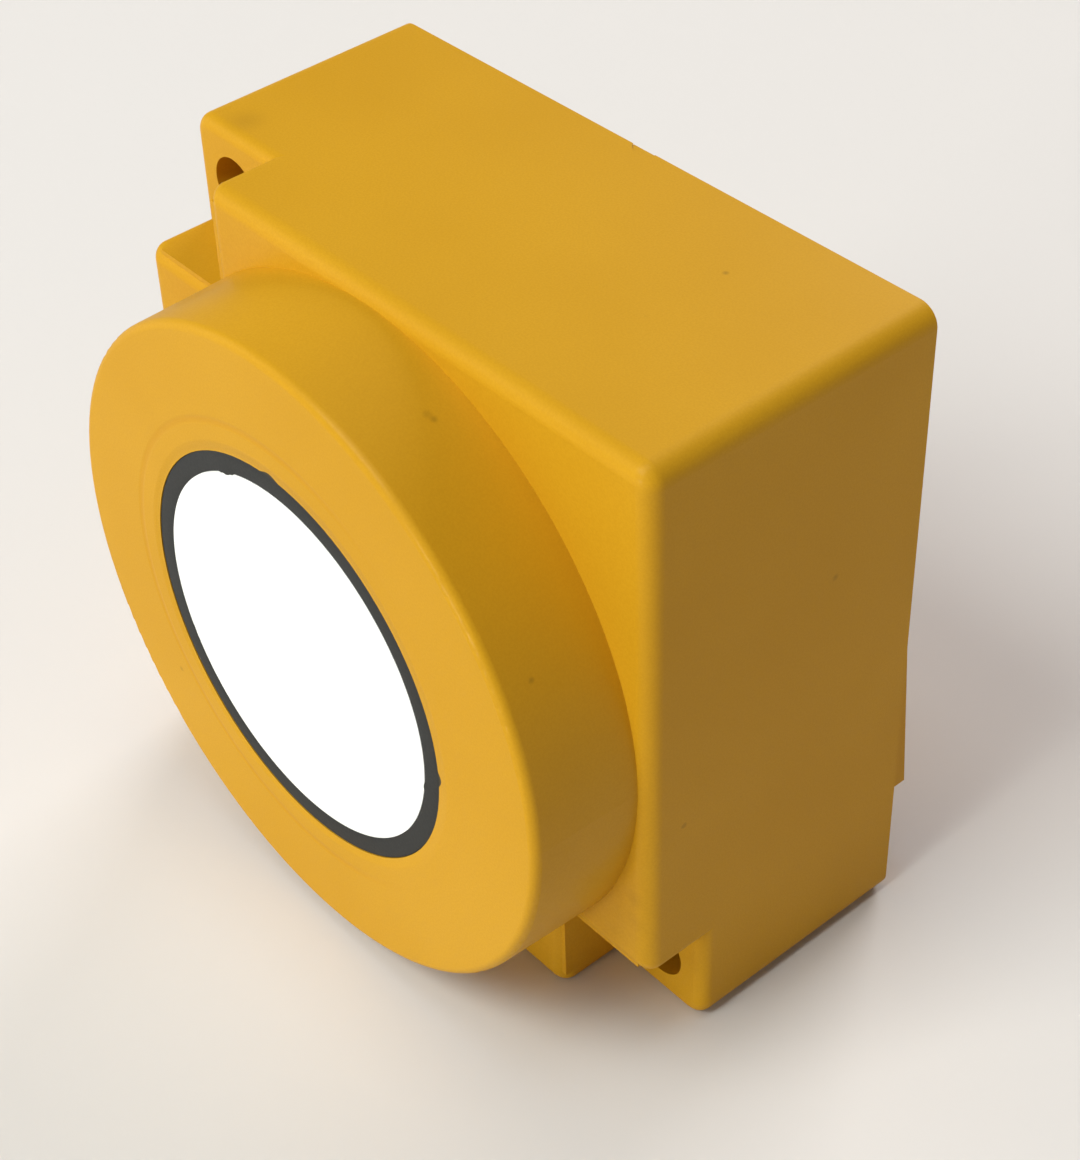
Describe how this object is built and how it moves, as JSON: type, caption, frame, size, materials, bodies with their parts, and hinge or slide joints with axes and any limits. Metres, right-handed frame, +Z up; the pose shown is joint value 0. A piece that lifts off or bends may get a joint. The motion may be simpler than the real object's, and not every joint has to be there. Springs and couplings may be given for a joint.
{
  "type": "ultrasonic proximity sensor",
  "caption": "Square ultrasonic proximity sensor with a round transducer drum in front, diagonal screw ears, a wedge-shaped rear cover and a round threaded connector.",
  "frame": {"origin": "centre of the two-hole mounting pattern on the housing's rear plane", "axes": "+X to the right seen from the front, +Y from the sounding face to the connector, +Z up"},
  "size_m": [0.08, 0.067, 0.08],
  "materials": {
    "housing_yellow": "satin",
    "face_white": "satin",
    "ring_black": "matte",
    "cup_aluminium": "satin",
    "piezo_ceramic": "matte",
    "absorber_grey": "matte",
    "bright_steel": "satin",
    "board_green": "satin",
    "component_black": "matte",
    "can_aluminium": "satin",
    "lens_clear": "gloss",
    "nickel_brass": "satin",
    "insert_black": "matte",
    "contact_gold": "gloss",
    "lead_grey": "matte"
  },
  "bodies": {
    "root": {"housing": "housing_yellow", "inner_frame": "insert_black", "transducer_face": "face_white", "decoupling_ring": "ring_black", "transducer_cup": "cup_aluminium", "piezo_disc": "piezo_ceramic", "backing_absorber": "absorber_grey", "transducer_clamp": "bright_steel", "clamp_screws": "bright_steel", "main_board": "board_green", "board_screws": "bright_steel", "driver_transformer": "component_black", "storage_capacitors": "can_aluminium", "microcontroller": "component_black", "quartz_crystal": "bright_steel", "voltage_regulator": "component_black", "shield_can": "bright_steel", "pin_terminal": "component_black", "chip_parts": "component_black", "status_led": "lens_clear", "rear_cover": "housing_yellow", "cover_gasket": "ring_black", "cover_screws": "bright_steel", "connector_shell": "nickel_brass", "connector_insert": "insert_black", "connector_pins": "contact_gold", "connector_seal": "ring_black", "connector_nut": "nickel_brass", "led_window": "lens_clear", "transducer_leads": "lead_grey"}
  },
  "joints": []
}
